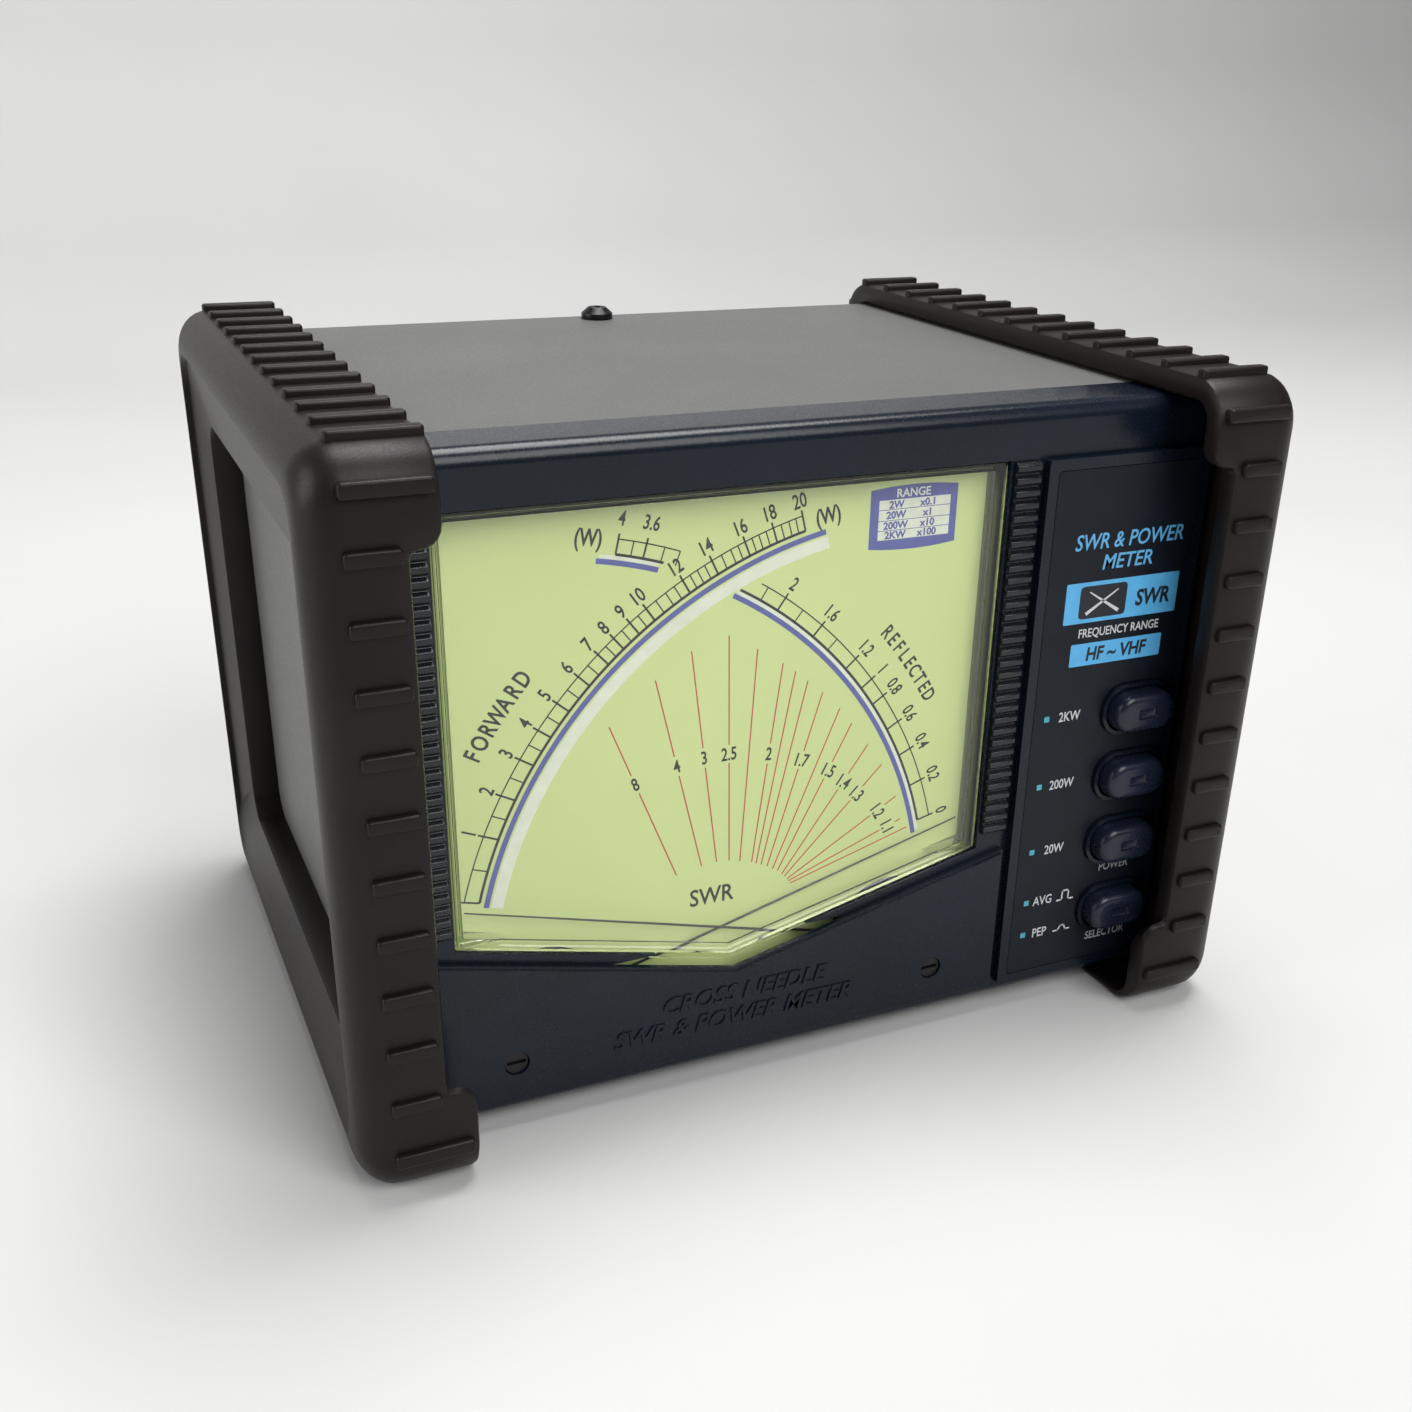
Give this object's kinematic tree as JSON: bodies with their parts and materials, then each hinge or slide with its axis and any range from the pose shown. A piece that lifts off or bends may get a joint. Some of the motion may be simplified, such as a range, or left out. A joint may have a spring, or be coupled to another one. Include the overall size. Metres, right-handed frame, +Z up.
{
  "type": "swr meter",
  "caption": "Desktop cross-needle SWR and power meter: green dial under a clear window, push-button panel, grey steel case, ribbed side guards and rear coaxial sockets.",
  "frame": {"origin": "bottom centre of the whole object's bounding box, on the table", "axes": "+Z up; the dial and buttons face -Y; +X is to the right seen from the front"},
  "size_m": [0.155, 0.1316, 0.112],
  "materials": {
    "guard": "moulded soft plastic, fine satin grain",
    "navy_plastic": "moulded, very dark navy, satin",
    "rib_plastic": "moulded, near black navy, satin",
    "label_film": "printed film, near black, satin",
    "grey_paint": "fine-textured dark grey enamel on sheet steel",
    "black_screw": "blackened steel screw",
    "zinc_steel": "zinc-plated sheet steel",
    "clear_acrylic": "clear moulded acrylic, polished",
    "dial_face": "pale yellow-green printed dial, matt",
    "white_plastic": "moulded ivory white plastic, matt",
    "lamp_glass": "small filament lamp, clear glass",
    "pointer_black": "matt black painted aluminium",
    "copper": "enamelled copper",
    "soft_iron": "turned magnet core, dull grey",
    "yoke_steel": "turned soft steel ring",
    "movement_brass": "pressed brass, satin",
    "spring_bronze": "phosphor bronze ribbon",
    "lever_steel": "pressed steel, satin",
    "adjuster_black": "black moulded plastic",
    "button_navy": "moulded, very dark navy, glossy",
    "ivory_plastic": "moulded acetal, ivory",
    "switch_black": "moulded black plastic",
    "circuit_board": "glass-epoxy board, green lacquer",
    "component_black": "moulded electronic components, black",
    "tinned_steel": "tinned sheet steel",
    "ferrite": "sintered ferrite, dull dark grey",
    "nickel_plate": "nickel-plated brass, bright",
    "socket_insulator": "off-white moulded insulator",
    "contact_gold": "plated contact, bright",
    "jack_black": "moulded black plastic"
  },
  "bodies": {
    "cabinet": {"guard_left": "guard", "guard_right": "guard", "front_bezel": "navy_plastic", "lower_fascia": "navy_plastic", "rib_strip_left": "rib_plastic", "rib_strip_right": "rib_plastic", "control_panel": "navy_plastic", "panel_label": "label_film", "top_cover": "grey_paint", "cabinet_screws": "black_screw", "chassis": "zinc_steel", "rear_panel": "grey_paint", "meter_lens": "clear_acrylic", "dial_plate": "dial_face", "meter_case": "white_plastic", "dial_lamps": "lamp_glass", "forward_core": "soft_iron", "forward_yoke": "yoke_steel", "forward_bridge": "movement_brass", "reflected_core": "soft_iron", "reflected_yoke": "yoke_steel", "reflected_bridge": "movement_brass", "range_switch_bank": "switch_black", "selector_switch": "switch_black", "switch_bracket": "zinc_steel", "switch_board": "circuit_board", "main_board": "circuit_board", "board_components": "component_black", "coupler_box": "tinned_steel", "coupler_lid": "tinned_steel", "coupler_board": "circuit_board", "line_conductor": "copper", "line_sleeve": "socket_insulator", "sampling_toroid": "ferrite", "transmitter_socket": "nickel_plate", "antenna_socket": "nickel_plate", "socket_insulators": "socket_insulator", "socket_contacts": "contact_gold", "socket_screws": "nickel_plate", "power_jack": "jack_black", "power_jack_nut": "nickel_plate"},
    "forward_movement": {"forward_pointer": "pointer_black", "forward_coil": "copper"},
    "forward_zero": {"forward_zero_lever": "lever_steel", "forward_hairspring": "spring_bronze"},
    "forward_adjuster": {"forward_zero_adjuster": "adjuster_black"},
    "reflected_movement": {"reflected_pointer": "pointer_black", "reflected_coil": "copper"},
    "reflected_zero": {"reflected_zero_lever": "lever_steel", "reflected_hairspring": "spring_bronze"},
    "reflected_adjuster": {"reflected_zero_adjuster": "adjuster_black"},
    "range_2kw_push": {"range_2kw_button": "button_navy", "range_2kw_plunger": "ivory_plastic"},
    "range_200w_push": {"range_200w_button": "button_navy", "range_200w_plunger": "ivory_plastic"},
    "range_20w_push": {"range_20w_button": "button_navy", "range_20w_plunger": "ivory_plastic"},
    "selector_push": {"selector_button": "button_navy", "selector_plunger": "ivory_plastic"}
  },
  "joints": [
    {"name": "forward_pointer_swing", "type": "hinge", "parent": "cabinet", "child": "forward_movement", "pos_m": [0.0171, -0.0475, 0.0171], "axis": [0, 1, 0], "range_deg": [0, 63], "stiffness_Nm_per_rad": 0.001},
    {"name": "forward_adjuster_turn", "type": "hinge", "parent": "cabinet", "child": "forward_adjuster", "pos_m": [0.0232, -0.0525, 0.0116], "axis": [0, 1, 0], "range_deg": [-30, 30]},
    {"name": "forward_zero_shift", "type": "hinge", "parent": "cabinet", "child": "forward_zero", "pos_m": [0.0171, -0.0505, 0.0171], "axis": [0, 1, 0], "range_deg": [-5.2, 5.2]},
    {"name": "reflected_pointer_swing", "type": "hinge", "parent": "cabinet", "child": "reflected_movement", "pos_m": [-0.0447, -0.0475, 0.0171], "axis": [0, -1, 0], "range_deg": [0, 63], "stiffness_Nm_per_rad": 0.001},
    {"name": "reflected_adjuster_turn", "type": "hinge", "parent": "cabinet", "child": "reflected_adjuster", "pos_m": [-0.0508, -0.0525, 0.0116], "axis": [0, -1, 0], "range_deg": [-30, 30]},
    {"name": "reflected_zero_shift", "type": "hinge", "parent": "cabinet", "child": "reflected_zero", "pos_m": [-0.0447, -0.0505, 0.0171], "axis": [0, -1, 0], "range_deg": [-5.2, 5.2]},
    {"name": "range_2kw_press", "type": "slide", "parent": "cabinet", "child": "range_2kw_push", "axis": [0, 1, 0], "range_m": [0, 0.003], "stiffness_N_per_m": 300},
    {"name": "range_200w_press", "type": "slide", "parent": "cabinet", "child": "range_200w_push", "axis": [0, 1, 0], "range_m": [0, 0.003], "stiffness_N_per_m": 300},
    {"name": "range_20w_press", "type": "slide", "parent": "cabinet", "child": "range_20w_push", "axis": [0, 1, 0], "range_m": [0, 0.003], "stiffness_N_per_m": 300},
    {"name": "selector_press", "type": "slide", "parent": "cabinet", "child": "selector_push", "axis": [0, 1, 0], "range_m": [0, 0.003], "stiffness_N_per_m": 300}
  ],
  "couplings": [
    {"joint": "forward_zero_shift", "follows": "forward_adjuster_turn", "ratio": -0.165},
    {"joint": "reflected_zero_shift", "follows": "reflected_adjuster_turn", "ratio": -0.165}
  ]
}
